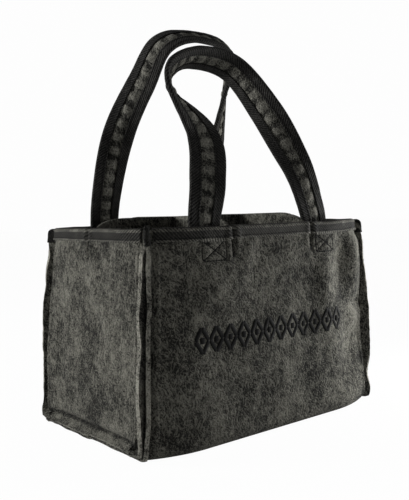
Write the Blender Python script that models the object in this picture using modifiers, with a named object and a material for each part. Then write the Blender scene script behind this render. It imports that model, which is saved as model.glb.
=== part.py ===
# Felt carrier for six half-litre bottles: one felt strip makes the front, the base and the
# back, two side panels are sewn into it with the seams turned out, the rim is taped, three
# crossed dividers stand inside, and two twisted straps are sewn in as carrying handles.
# Metres, +Z up. The origin is on the floor under the middle of the bag, the front faces -Y.
from collections import namedtuple
from math import atan2, cos, hypot, pi, radians, sin, sqrt, tan

import bmesh
import bpy
from mathutils import Vector

# Bag
BAG_HEIGHT = 0.1545         # floor to the felt's top edge
RIM_LENGTH = 0.206          # seam to seam along the front, at the rim
RIM_WIDTH = 0.131           # seam to seam along a side, at the rim
BASE_LENGTH = 0.2245
BASE_WIDTH = 0.135
FRONT_BOW_RIM = 0.0100      # bulge of the front and the back between their seams
FRONT_BOW_BASE = 0.0112
SIDE_BOW = 0.0035
SIDE_BOW_RISE = 0.050       # the sides bulge in full from this height
FOLD_RADIUS = 0.005         # bend between the front, or the back, and the base
FELT = 0.003
FLANGE = 0.007              # seam allowance, both layers turned outwards at 45 degrees
FIT = 0.0003                # gap between pieces that are sewn or laid together

# Tape over the rim and over the tops of the corner seams
TAPE = 0.0007
TAPE_COVER = 0.009
TAPE_ZONE = 0.012           # straight felt behind the tape
CAP_DEPTH = 0.018
CAP_START = 0.0018          # the caps stand this far out from the seam
CAP_END = 0.0012            # and reach this far past the seam allowance

# Dividers
DIVIDER = 0.002
CROSS_SPACING = 0.0706      # between the two short dividers
DIVIDER_RISE = 0.0075       # above the felt's top edge
DIVIDER_DIP = 0.003         # their ends are sewn in this far below that edge
DIVIDER_CURVE = 0.024       # length of the rounded rise from each end

# Handles
HANDLE_SPREAD = 0.1126      # between the lower ends of a handle's two sewn ends
STRAP_WIDTH = 0.0267
STRAP_FELT = 0.002
STRAP_TAPE = 0.0006
STRAP_COVER = 0.0083        # how far the edge tape reaches over the strap
TAB_LENGTH = 0.030          # sewn end, below the felt's top edge
FRONT_ARCH = 0.1423         # along the leaning handle, from the rim to its top
REAR_ARCH = 0.1682
FRONT_LEAN_RADIUS = 0.120   # the handles bend inwards along this radius, up to an angle
REAR_LEAN_RADIUS = 0.263
FRONT_LEAN = radians(26.2)
REAR_LEAN = radians(27.8)

# Centre line of each handle seen square to its plane: shares of half the spread and of the
# arch's height, from the left end over the top to the right end
FRONT_SHARES = (
    (-1.07, 0.0), (-0.92, 0.24), (-0.76, 0.50), (-1.03, 0.77), (-0.89, 0.90), (-0.43, 1.0),
    (0.15, 0.94), (0.48, 0.67), (0.67, 0.37), (0.81, 0.15), (0.92, 0.0))
REAR_SHARES = (
    (-1.02, 0.0), (-0.95, 0.25), (-0.83, 0.50), (-0.59, 0.74), (-0.35, 0.93), (0.11, 1.0),
    (0.82, 0.94), (0.96, 0.74), (1.07, 0.47), (1.02, 0.23), (0.96, 0.0))
# Where each strap starts and has finished its quarter turn, from its left and its right end
FRONT_TURN_SHARES = (0.44, 1.19, 0.0, 1.07)
REAR_TURN_SHARES = (0.0, 1.19, 0.0, 1.33)

# Where the panels are divided into facets: shares of the half length or half width
FRONT_COLUMN_SHARES = (-1, -0.92, -0.84, -0.72, -0.6, -0.3, 0, 0.3, 0.6, 0.72, 0.84, 0.92, 1)
SIDE_COLUMN_SHARES = (-1, -0.86, -0.68, -0.4, 0, 0.4, 0.68, 0.86, 1)
FRONT_FLAT_SHARE = 0.6      # the front bulges evenly over this share of its length
BASE_FLAT_SHARE = 0.84      # the base lies flat over this share
SEAM_SHARE = sqrt(0.5)      # sine of the 45 degrees at which the seams turn out
PANEL_ROWS = 5
FOLD_ROWS = 6
BASE_ROWS = 3
STEPS_PER_SPAN = 5          # facets between two points of a handle's centre line
DIVIDER_STEPS = 6           # facets of the rise at each end of a divider
FOLD_BEVEL_SHARE = 0.8      # of a folded tape's thickness

seam_height = (FLANGE + FELT / 2) * SEAM_SHARE + FIT
base_sag = seam_height - FELT / 2
seam_shift = (FELT + FIT) * SEAM_SHARE
tape_inner = FELT / 2 + FIT
tape_outer = tape_inner + TAPE
strap_inner = STRAP_FELT / 2 + FIT
strap_outer = strap_inner + STRAP_TAPE
cross_height = BAG_HEIGHT / 2

# One row of the felt strip: its place and outward normal in the YZ plane at the seams, half
# its length between them, how far its middle moves out along Y and down, and the share of
# its length that moves evenly
Row = namedtuple("Row", "y z ny nz half bow sag flat")

for old in list(bpy.data.objects):
    bpy.data.objects.remove(old, do_unlink=True)
carrier = bpy.data.collections.new("felt_bottle_carrier")
bpy.context.scene.collection.children.link(carrier)


def mix(low, high, share):
    return low + (high - low) * share


def add_material(name, colour, roughness):
    material = bpy.data.materials.new(name)
    material.use_nodes = True
    shader = material.node_tree.nodes["Principled BSDF"]
    shader.inputs["Base Color"].default_value = (*colour, 1)
    shader.inputs["Roughness"].default_value = roughness
    shader.inputs["Metallic"].default_value = 0
    return material


def add_object(name, bm, colour, roughness, pivot=None):
    bmesh.ops.recalc_face_normals(bm, faces=bm.faces)
    if pivot is not None:
        bmesh.ops.translate(bm, verts=bm.verts, vec=-pivot.location)
    mesh = bpy.data.meshes.new(name)
    bm.to_mesh(mesh)
    bm.free()
    mesh.materials.append(add_material(name, colour, roughness))
    piece = bpy.data.objects.new(name, mesh)
    piece.parent = pivot
    carrier.objects.link(piece)
    return piece


def add_felt(name, bm, thickness):
    piece = add_object(name, bm, (0.075, 0.075, 0.073), 0.95)
    wall = piece.modifiers.new("felt", "SOLIDIFY")
    wall.thickness = thickness
    wall.offset = 0
    wall.use_even_offset = True
    wall.use_quality_normals = True
    return piece


def add_tape(name, bm, pivot=None):
    return add_object(name, bm, (0.018, 0.018, 0.019), 0.85, pivot)


def sweep(section, frames):
    # Extrudes a closed outline of (across, through) pairs from frame to frame
    bm = bmesh.new()
    rings = []
    face = None
    for origin, across, through in frames:
        places = [origin + across * a + through * b for a, b in section]
        if face is None:
            ring = [bm.verts.new(place) for place in places]
            face = bm.faces.new(ring)
        else:
            index = {vert.co.to_tuple(9): i for i, vert in enumerate(rings[-1])}
            grown = bmesh.ops.extrude_face_region(bm, geom=[face])["geom"]
            if len(rings) > 1:
                bm.faces.remove(face)
            face = next(item for item in grown if isinstance(item, bmesh.types.BMFace))
            ring = [None] * len(section)
            for vert in face.verts:
                ring[index[vert.co.to_tuple(9)]] = vert
            for vert, place in zip(ring, places):
                vert.co = place
        rings.append(ring)
    # The long faces are split along one diagonal, so that layers laid together stay parallel
    for lower, upper in zip(rings, rings[1:]):
        for i in range(len(section)):
            j = (i + 1) % len(section)
            left, right = (i, j) if section[i][0] < section[j][0] else (j, i)
            side = set(lower[left].link_faces) & set(upper[right].link_faces)
            bmesh.utils.face_split(side.pop(), lower[left], upper[right])
    return bm


def fold_section(inner, outer, reach, lip):
    # Tape folded over an edge: across runs away from the edge, through is the thickness
    tape = outer - inner
    bevel = tape * FOLD_BEVEL_SHARE
    return [(reach, outer), (bevel - lip, outer), (-lip, outer - bevel), (-lip, bevel - outer),
            (bevel - lip, -outer), (reach, -outer), (reach, -inner), (tape - lip, -inner),
            (tape - lip, inner), (reach, inner)]


def strip_rows():
    # Half of the felt strip's U, from the front rim down and round to the middle of the base
    rim = Vector((-RIM_WIDTH / 2, BAG_HEIGHT))
    corner = Vector((-BASE_WIDTH / 2, seam_height))
    drop = (corner - rim).length
    down = (corner - rim) / drop
    lean = atan2(-down.x, -down.y)
    reach = FOLD_RADIUS * tan(pi / 4 + lean / 2)
    places = [(rim, lean, 0)]
    for i in range(PANEL_ROWS + 1):
        places.append((rim + down * mix(TAPE_ZONE, drop - reach, i / PANEL_ROWS), lean, 0))
    centre = Vector((corner.x + reach, corner.y + FOLD_RADIUS))
    for i in range(1, FOLD_ROWS + 1):
        share = i / FOLD_ROWS
        angle = mix(lean, -pi / 2, share)
        out = Vector((-cos(angle), sin(angle)))
        places.append((centre + out * FOLD_RADIUS, angle, share))
    for i in range(1, BASE_ROWS + 1):
        places.append((Vector((mix(centre.x, 0, i / BASE_ROWS), seam_height)), -pi / 2, 1))
    rows = []
    fold_top = centre.y + FOLD_RADIUS * sin(lean)
    for place, angle, fold in places:
        fall = (BAG_HEIGHT - place.y) / (BAG_HEIGHT - seam_height)
        bow = mix(FRONT_BOW_RIM, FRONT_BOW_BASE, fall) * min(1, place.x / centre.x)
        sag = base_sag * max(0, fold_top - place.y) / (fold_top - seam_height)
        rows.append(Row(place.x, place.y, -cos(angle), sin(angle),
                        mix(RIM_LENGTH, BASE_LENGTH, fall) / 2, -bow, sag,
                        mix(FRONT_FLAT_SHARE, BASE_FLAT_SHARE, fold)))
    return rows


def bulge(share, flat):
    # 1 over the flat middle, falling to 0 at the seams
    past = max(0, abs(share) - flat) / (1 - flat)
    return 1 - past ** 2


def strip_point(row, share):
    out = bulge(share, row.flat)
    return Vector((row.half * share, row.y + row.bow * out, row.z - row.sag * out))


def side_point(row, share):
    # On the right-hand side panel; its seam lies one layer inside the strip's
    low = seam_height + seam_shift
    height = row.z - row.nz * seam_shift
    rise = sin(min(1, max(0, (height - low) / SIDE_BOW_RISE)) * pi / 2)
    out = SIDE_BOW * rise * (1 - share ** 4)
    return Vector((row.half + seam_shift + out, -(row.y - row.ny * seam_shift) * share, height))


def seam_out(row, sign=1):
    return Vector((sign * SEAM_SHARE, row.ny * SEAM_SHARE, row.nz * SEAM_SHARE)) * FLANGE


half_rows = strip_rows()
fold_end = len(half_rows) - BASE_ROWS
back_rows = [row._replace(y=-row.y, ny=-row.ny, bow=-row.bow) for row in reversed(half_rows[:-1])]
all_rows = half_rows + back_rows
side_rows = half_rows[:fold_end]


def add_strip():
    columns = len(FRONT_COLUMN_SHARES) + 1
    bm = bmesh.new()
    bmesh.ops.create_grid(bm, x_segments=columns, y_segments=len(all_rows) - 1, size=1)
    for vert in bm.verts:
        column = round((vert.co.x + 1) / 2 * columns)
        row = all_rows[round((vert.co.y + 1) / 2 * (len(all_rows) - 1))]
        inner = min(max(column, 1), columns - 1)
        vert.co = strip_point(row, FRONT_COLUMN_SHARES[inner - 1])
        if column != inner:
            vert.co += seam_out(row, -1 if column == 0 else 1)
    add_felt("front_base_back_felt", bm, FELT)


def add_side(name, hand):
    columns = len(SIDE_COLUMN_SHARES) - 1
    bm = bmesh.new()
    bmesh.ops.create_grid(bm, x_segments=columns, y_segments=len(side_rows) - 1, size=1)
    seam = {}
    for vert in bm.verts:
        column = round((vert.co.x + 1) / 2 * columns)
        level = round((vert.co.y + 1) / 2 * (len(side_rows) - 1))
        row = side_rows[level]
        vert.co = side_point(row, SIDE_COLUMN_SHARES[column])
        if column == columns:
            row = row._replace(ny=-row.ny)
        seam[vert.co.to_tuple(9)] = seam_out(row)
    top = max(vert.co.z for vert in bm.verts)
    edges = [edge for edge in bm.edges if edge.is_boundary
             and min(vert.co.z for vert in edge.verts) < top - FIT]
    grown = bmesh.ops.extrude_edge_only(bm, edges=edges)["geom"]
    for vert in [item for item in grown if isinstance(item, bmesh.types.BMVert)]:
        vert.co += seam[vert.co.to_tuple(9)]
    for vert in bm.verts:
        vert.co.x *= hand
    add_felt(name, bm, FELT)


def rim_frames(top, below, stop):
    # Frames along a panel's top edge, held back from the seams: outwards, and down the felt
    points = []
    for first, second in ((0, 1), (-1, -2)):
        share = stop / (top[second] - top[first]).length
        points.append((top[first].lerp(top[second], share), below[first].lerp(below[second], share)))
    points = points[:1] + list(zip(top[1:-1], below[1:-1])) + points[1:]
    frames = []
    for i, (place, under) in enumerate(points):
        down = (under - place).normalized()
        before = points[max(i - 1, 0)][0]
        after = points[min(i + 1, len(points) - 1)][0]
        sides = [down.cross(end - start).normalized()
                 for start, end in ((before, place), (place, after)) if end != start]
        out = sum(sides, Vector()).normalized()
        frames.append((place, down, out / out.dot(sides[0])))
    return frames


rim_section = fold_section(tape_inner, tape_outer, TAPE_COVER, FIT + TAPE)


def add_rim_tapes():
    stop = FELT / 2
    rim, zone = half_rows[0], half_rows[1]
    front = [[strip_point(row, share) for share in FRONT_COLUMN_SHARES] for row in (rim, zone)]
    right = [[side_point(row, share) for share in SIDE_COLUMN_SHARES] for row in (rim, zone)]
    for name, (top, below), turn in (("front_rim_tape", front, 1), ("right_rim_tape", right, 1),
                                     ("back_rim_tape", front, -1), ("left_rim_tape", right, -1)):
        top = [Vector((turn * p.x, turn * p.y, p.z)) for p in top]
        below = [Vector((turn * p.x, turn * p.y, p.z)) for p in below]
        add_tape(name, sweep(rim_section, rim_frames(top, below, stop)))


def add_corner_caps():
    inner = FELT + FIT / 2 + FIT
    section = fold_section(inner, inner + TAPE, CAP_DEPTH, FIT + TAPE)
    rim, zone = half_rows[0], half_rows[1]
    top, below = strip_point(rim, 1), strip_point(zone, 1)
    down = (below - top).normalized()
    along = seam_out(rim).normalized()
    middle = top + Vector((SEAM_SHARE, -rim.ny * SEAM_SHARE, 0)) * (FELT + FIT) / 2
    through = along.cross(down).normalized()
    for name, right, back in (("front_right_cap", 1, 1), ("front_left_cap", -1, 1),
                              ("back_right_cap", 1, -1), ("back_left_cap", -1, -1)):
        turn = Vector((right, back, 1))
        frames = [(middle + along * reach, down, through) for reach in (CAP_START, FLANGE + CAP_END)]
        add_tape(name, sweep(section, [tuple(axis * turn for axis in frame) for frame in frames]))


def divider_top(end):
    # The top edge from a sewn end to the level part, as (distance from the middle, height)
    points = []
    for i in range(DIVIDER_STEPS + 1):
        angle = i / DIVIDER_STEPS * pi / 2
        points.append((end - DIVIDER_CURVE * (1 - cos(angle)),
                       mix(BAG_HEIGHT - DIVIDER_DIP, BAG_HEIGHT + DIVIDER_RISE, sin(angle))))
    return points


def divider_side(wall):
    # One end, from the bottom up: held off the felt, and stepped round the rim tape
    top = BAG_HEIGHT - TAPE_COVER - 2 * FIT
    clear = tape_outer - tape_inner + FIT
    wall = sorted(wall, key=lambda point: point[1])
    low = [point for point in wall if point[1] < top]
    (x0, z0), (x1, z1) = low[-1], wall[wall.index(low[-1]) + 1]
    share = (top - z0) / (z1 - z0)
    step = mix(x0, x1, share)
    rim = wall[-1][0] - clear
    return low + [(step, top), (rim, top)] + divider_top(rim)


def held_off(path, gap):
    # Moves an open (distance, height) path sideways, to the right of its direction
    points = [Vector(point) for point in path]
    sides = []
    for start, end in zip(points, points[1:]):
        run = (end - start).normalized()
        sides.append(Vector((run.y, -run.x)))
    sides = sides[:1] + sides + sides[-1:]
    moved = []
    for point, before, after in zip(points, sides, sides[1:]):
        both = (before + after).normalized()
        moved.append(tuple(point + both * gap / both.dot(after)))
    return moved


def outline_plate(outline, thickness):
    bm = bmesh.new()
    face = bm.faces.new([bm.verts.new((a, -thickness / 2, z)) for a, z in outline])
    grown = bmesh.ops.extrude_face_region(bm, geom=[face])["geom"]
    moved = [item for item in grown if isinstance(item, bmesh.types.BMVert)]
    bmesh.ops.translate(bm, verts=moved, vec=(0, thickness, 0))
    bmesh.ops.triangulate(bm, faces=[f for f in bm.faces if len(f.verts) > 4])
    return bm


def add_dividers():
    slot = DIVIDER / 2 + FIT
    off = FELT / 2 + FIT
    top = BAG_HEIGHT + DIVIDER_RISE
    cross_x = CROSS_SPACING / 2

    # The long one stands on the base and follows the sides; its slots open upwards
    wall = [(side_point(row, 0).x - off, side_point(row, 0).z) for row in side_rows]
    wall = [point for point in wall if point[1] > seam_height + FLANGE]
    middle = half_rows[-1]
    floor = [(middle.half * share, strip_point(middle, share).z + off)
             for share in FRONT_COLUMN_SHARES if 0 < share < 1]
    right = floor + divider_side(wall)
    right += [(cross_x + slot, top), (cross_x + slot, cross_height - FIT / 2),
              (cross_x - slot, cross_height - FIT / 2), (cross_x - slot, top)]
    outline = right + [(-a, z) for a, z in reversed(right)]
    long_plate = outline_plate(outline, DIVIDER)
    add_object("long_divider", long_plate, (0.07, 0.07, 0.068), 0.95)

    # The short ones follow the strip's U from the middle out; their slots open downwards
    wall = [strip_point(row, 0) for row in reversed(half_rows)]
    wall = held_off([(-point.y, point.z) for point in wall], -off)
    level = wall[0][1]
    floor = [point for point in wall if slot < point[0] and point[1] < level + FIT]
    rest = [point for point in wall if point[1] >= level + FIT]
    back = [(slot, cross_height + FIT / 2), (slot, level)] + floor + divider_side(rest)
    outline = back + [(-a, z) for a, z in reversed(back)]
    for name, hand in (("right_cross_divider", 1), ("left_cross_divider", -1)):
        plate = add_object(name, outline_plate(outline, DIVIDER), (0.07, 0.07, 0.068), 0.95)
        plate.rotation_euler = (0, 0, pi / 2)
        plate.location = (hand * cross_x, 0, 0)


def front_wall(x, drop):
    # Distance of the front felt's middle layer from the bag's middle plane
    rim, low = half_rows[0], half_rows[PANEL_ROWS + 1]
    fall = drop / (rim.z - low.z)
    near = strip_point(rim, x / rim.half)
    far = strip_point(low, x / low.half)
    return -mix(near.y, far.y, fall)


# How each handle is shaped; facing is -1 for the front one and 1 for the rear one
Handle = namedtuple("Handle", "name facing arch radius lean shares turn_shares")
handles = (Handle("front_handle", -1, FRONT_ARCH, FRONT_LEAN_RADIUS, FRONT_LEAN, FRONT_SHARES,
                  FRONT_TURN_SHARES),
           Handle("rear_handle", 1, REAR_ARCH, REAR_LEAN_RADIUS, REAR_LEAN, REAR_SHARES,
                  REAR_TURN_SHARES))
leg = HANDLE_SPREAD / 2
widest_foot = leg * max(abs(handle.shares[i][0]) for handle in handles for i in (0, -1))
pivot_y = front_wall(leg, 0)
pivot_z = BAG_HEIGHT - FELT / 2
wall_bend = pivot_y - front_wall(widest_foot + STRAP_WIDTH / 2, 0)
rim_reach = max(hypot(a - FELT / 2, b) for a, b in rim_section if a < FELT / 2)
swing = rim_reach + FIT + max(0, wall_bend) + strap_outer
strap_edge = STRAP_WIDTH / 2 - STRAP_TAPE - FIT
stripe = STRAP_WIDTH / 2 - STRAP_COVER

strap_section = [(strap_edge, STRAP_FELT / 2), (stripe, STRAP_FELT / 2), (-stripe, STRAP_FELT / 2),
                 (-strap_edge, STRAP_FELT / 2), (-strap_edge, -STRAP_FELT / 2),
                 (-stripe, -STRAP_FELT / 2), (stripe, -STRAP_FELT / 2), (strap_edge, -STRAP_FELT / 2)]


def edge_section(hand):
    return [(hand * (STRAP_WIDTH / 2 - a), b)
            for a, b in fold_section(strap_inner, strap_outer, STRAP_COVER, 0)]


def smooth_path(points):
    # Points along a Catmull-Rom curve that leaves the rim square to it, with its directions
    below = [Vector((point.x, -point.y)) for point in (points[1], points[-2])]
    ends = [below[0], *points, below[1]]
    path = []
    for a, b, c, d in zip(ends, ends[1:], ends[2:], ends[3:]):
        for i in range(STEPS_PER_SPAN):
            t = i / STEPS_PER_SPAN
            place = (b * 2 + (c - a) * t + (a * 2 - b * 5 + c * 4 - d) * t ** 2
                     + (b * 3 - c * 3 + d - a) * t ** 3) / 2
            heading = ((c - a) + (a * 2 - b * 5 + c * 4 - d) * 2 * t
                       + (b * 3 - c * 3 + d - a) * 3 * t ** 2)
            path.append((place, heading.normalized()))
    path.append((points[-1], Vector((0, -1))))
    return path


def handle_frames(handle):
    facing, radius = handle.facing, handle.radius
    path = smooth_path([Vector((leg * a, handle.arch * b)) for a, b in handle.shares])
    reached = [0]
    for (start, _), (end, _) in zip(path, path[1:]):
        reached.append(reached[-1] + (end - start).length)
    left_start, left_end, right_start, right_end = [handle.arch * a for a in handle.turn_shares]
    frames = []
    for (place, heading), run in zip(path, reached):
        up = max(0, place.y)
        lean = min(up / radius, handle.lean)
        past = max(0, up - radius * handle.lean)
        inward = radius * (1 - cos(lean)) + past * sin(lean)
        rise = radius * sin(lean) + past * cos(lean)
        rising = Vector((0, -facing * sin(lean), cos(lean)))
        outward = Vector((0, facing * cos(lean), sin(lean)))
        share = min((run - left_start) / (left_end - left_start),
                    (reached[-1] - run - right_start) / (right_end - right_start))
        share = min(1, max(0, share))
        turn = share ** 2 * (3 - 2 * share) * pi / 2
        along = Vector((1, 0, 0)) * heading.x + rising * heading.y
        inside = Vector((1, 0, 0)) * heading.y - rising * heading.x
        across = inside * cos(turn) - outward * sin(turn)
        origin = Vector((place.x, facing * (pivot_y - swing - inward), pivot_z + rise))
        frames.append((origin, across, across.cross(along).normalized()))
    return frames


def tab_frames(foot, hand, facing):
    # A strap's sewn end, from the rim down the inside of its panel
    held = FELT / 2 + FIT + strap_outer
    below = TAPE_COVER + FIT
    edge = max(abs(foot), leg) + STRAP_WIDTH / 2
    frames = []
    for drop, off in ((FELT / 2 + FIT, None), (below, tape_outer + FIT + strap_outer),
                      (below + TAPE_COVER / 2, held), (TAB_LENGTH, held)):
        depth = pivot_y - swing if off is None else front_wall(edge, drop) - off
        across = mix(foot, hand * leg, drop / TAB_LENGTH)
        origin = Vector((across, facing * depth, BAG_HEIGHT - drop))
        frames.append((origin, Vector((1, 0, 0)), Vector((0, 1, 0))))
    return frames


def add_handle(handle):
    pivot = bpy.data.objects.new(handle.name + "_pivot", None)
    pivot.location = (0, handle.facing * pivot_y, pivot_z)
    carrier.objects.link(pivot)
    frames = handle_frames(handle)
    strap = sweep(strap_section, frames)
    add_object(handle.name + "_felt", strap, (0.09, 0.09, 0.088), 0.95, pivot)
    add_tape(handle.name + "_inner_tape", sweep(edge_section(1), frames), pivot)
    add_tape(handle.name + "_outer_tape", sweep(edge_section(-1), frames), pivot)
    for side, hand, i in (("left", -1, 0), ("right", 1, -1)):
        ends = tab_frames(leg * handle.shares[i][0], hand, handle.facing)
        end = f"{handle.name}_{side}_end"
        add_object(end + "_felt", sweep(strap_section, ends), (0.09, 0.09, 0.088), 0.95)
        add_tape(end + "_inner_tape", sweep(edge_section(-hand), ends))
        add_tape(end + "_outer_tape", sweep(edge_section(hand), ends))


add_strip()
add_side("right_side_felt", 1)
add_side("left_side_felt", -1)
add_rim_tapes()
add_corner_caps()
add_dividers()
for handle in handles:
    add_handle(handle)
print("carrier:", len(carrier.objects), "objects")
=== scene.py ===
# Felt carrier: felt panels, taped rim, sewn seams, dividers and twisted strap handles
from collections import namedtuple
from itertools import accumulate
from math import atan2, cos, dist, exp, hypot, pi, radians, sin, sqrt, tan

import bmesh
import bpy
from mathutils import Matrix, Vector, noise


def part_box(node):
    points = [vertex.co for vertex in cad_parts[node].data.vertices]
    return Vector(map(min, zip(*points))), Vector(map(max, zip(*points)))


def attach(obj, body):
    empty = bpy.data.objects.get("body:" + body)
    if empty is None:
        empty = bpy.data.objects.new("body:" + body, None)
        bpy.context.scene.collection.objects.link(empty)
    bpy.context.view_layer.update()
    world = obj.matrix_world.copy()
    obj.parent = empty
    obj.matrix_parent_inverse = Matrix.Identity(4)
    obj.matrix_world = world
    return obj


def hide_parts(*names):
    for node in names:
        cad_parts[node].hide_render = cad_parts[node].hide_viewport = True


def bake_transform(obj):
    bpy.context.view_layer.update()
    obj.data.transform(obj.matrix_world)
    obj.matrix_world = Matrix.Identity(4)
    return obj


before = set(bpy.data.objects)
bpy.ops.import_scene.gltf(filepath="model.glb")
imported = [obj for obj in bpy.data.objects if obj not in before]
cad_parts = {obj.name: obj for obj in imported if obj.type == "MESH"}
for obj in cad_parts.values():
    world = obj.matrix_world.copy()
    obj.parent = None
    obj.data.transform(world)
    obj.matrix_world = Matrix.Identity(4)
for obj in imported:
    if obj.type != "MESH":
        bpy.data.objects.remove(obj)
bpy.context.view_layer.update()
print("frame loaded,", len(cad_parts), "CAD nodes")


def mix(low, high, share):
    return low + (high - low) * share


def ramp(low, high, value):     # 0 below low, 1 above high, smooth between them
    share = min(1, max(0, (value - low) / (high - low)))
    return share * share * (3 - 2 * share)


def ripple(place, size, seed):  # smooth noise of about -1 to 1, with bumps of this size
    return noise.noise(Vector(place) / size + Vector((seed * 7.3, seed * 3.1, seed * 5.7))) * 1.6


def bell(distance, size):       # 1 at no distance, nearly 0 at twice the size
    return exp(-(distance / size) ** 2)


def runLengths(points):         # length along a line of points up to each of them
    return [0, *accumulate(dist(a, b) for a, b in zip(points, points[1:]))]


halfTurn = [pi * k / 10 for k in range(11)]     # angles along a half circle


# Shader maths: a Wire is a node's output, and an expression on wires adds Math nodes
class Wire:
    def __init__(self, finish, socket):
        self.finish, self.socket = finish, socket

    def math(self, operation, *values):
        return self.finish.add("Math", {"operation": operation}, values)

    def __add__(self, other):
        return self.math("ADD", self, other)

    def __radd__(self, other):
        return self.math("ADD", other, self)

    def __sub__(self, other):
        return self.math("SUBTRACT", self, other)

    def __rsub__(self, other):
        return self.math("SUBTRACT", other, self)

    def __mul__(self, other):
        return self.math("MULTIPLY", self, other)

    def __rmul__(self, other):
        return self.math("MULTIPLY", other, self)

    def __abs__(self):
        return self.math("ABSOLUTE", self)

    def wave(self):
        return self.math("SINE", self)

    def least(self, other):
        return self.math("MINIMUM", self, other)

    def most(self, other):
        return self.math("MAXIMUM", self, other)

    def above(self, low, high):     # 0 below low, 1 above high
        return self.finish.add("MapRange", {"interpolation_type": "SMOOTHSTEP"},
                               {"Value": self, "From Min": low, "From Max": high})

    def below(self, low, high):     # 1 below low, 0 above high
        return (self * -1).above(-high, -low)


class Finish:
    def __init__(self, name, **fixed):
        self.material = bpy.data.materials.new(name)
        self.material.use_nodes = True
        self.tree = self.material.node_tree
        self.shader = self.tree.nodes["Principled BSDF"]
        for key, value in fixed.items():
            self.shader.inputs[key.replace("_", " ")].default_value = value

    def put(self, socket, value):
        if isinstance(value, Wire):
            self.tree.links.new(value.socket, socket)
        elif hasattr(value, "__len__") and socket.type == "RGBA":
            socket.default_value = (*value[:3], 1)
        else:
            socket.default_value = value

    def add(self, kind, settings=None, values=(), output=0):
        node = self.tree.nodes.new("ShaderNode" + kind)
        for key, value in (settings or {}).items():
            setattr(node, key, value)
        for key, value in (values.items() if isinstance(values, dict) else enumerate(values)):
            self.put(node.inputs[key], value)
        return Wire(self, node.outputs[output])

    def colours(self, share, first, second):
        return self.add("Mix", {"data_type": "RGBA"}, {0: share, 6: first, 7: second}, 2)

    def speckle(self, place, size, detail=2.0, rough=0.5):
        return self.add("TexNoise", {}, {"Vector": place, "Scale": 1 / size, "Detail": detail,
                                         "Roughness": rough})

    def objectPlace(self):
        return self.add("TexCoord", output="Object")

    def clothPlace(self):           # metres along and across a piece, as its UV map holds them
        return self.add("UVMap", {"uv_map": "cloth"})

    def stretched(self, place, turn, size):
        return self.add("Mapping", {"vector_type": "TEXTURE"},
                        {"Vector": place, "Rotation": turn, "Scale": size})

    def split(self, place):
        first = self.add("SeparateXYZ", {}, [place])
        return [Wire(self, output) for output in first.socket.node.outputs]

    def finish(self, colour, rough, height, depth):
        self.put(self.shader.inputs["Base Color"], colour)
        self.put(self.shader.inputs["Roughness"], rough)
        bump = self.add("Bump", {}, {"Height": height, "Distance": depth, "Strength": 1.0})
        self.put(self.shader.inputs["Normal"], bump)
        return self.material


feltLook = {
    # Size, detail, roughness and weight of each pattern
    "grain": (0.0012, 2.0, 0.6, 1.35), "cloud": (0.006, 2.0, 0.55, 1.15), "blotch": (0.026, 3.0, 0.55, 1.45),
    "fibre": (0.015, 0.001, 0.001), "fibreEdge": (0.6, 0.67), "fibreWeight": 0.4, "mostFibres": 1.6,
    "everyOther": 0.7, "curl": 0.0045, "curlScale": 160.0, "rough": 0.94, "bump": 0.0007,
    "relief": {"grain": 0.7, "fibres": 0.35, "cloud": 0.6},
    "turns": ((0.3, 0.5, 0.2), (1.9, 0.3, 1.1), (0.8, 1.3, 2.2), (2.6, 0.9, 0.4), (1.2, 2.1, 2.9),
              (0.1, 2.7, 1.7), (2.2, 1.8, 0.9)),
}
# Painted highlight on the strap felt's puffs and painted shade in the dips between them
puffShading = {"edge": (0.14, 0.7), "pale": 0.48, "dark": 0.28}
# Painted shade in the crease over each side's bottom seam, a painted highlight on the flange's top under it
# and painted shade along its lower edge
bottomSeamShading = {
    "height": 0.0104, "creaseFade": (0.0005, 0.0023), "crease": 0.38, "litBandDrop": 0.0034,
    "litBandFade": (0.001, 0.0026), "paleBand": 0.12, "underFade": (0.0032, 0.0058), "under": 0.25,
    "sideFrom": (0.104, 0.109), "sideEnd": (0.061, 0.065),
}


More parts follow.
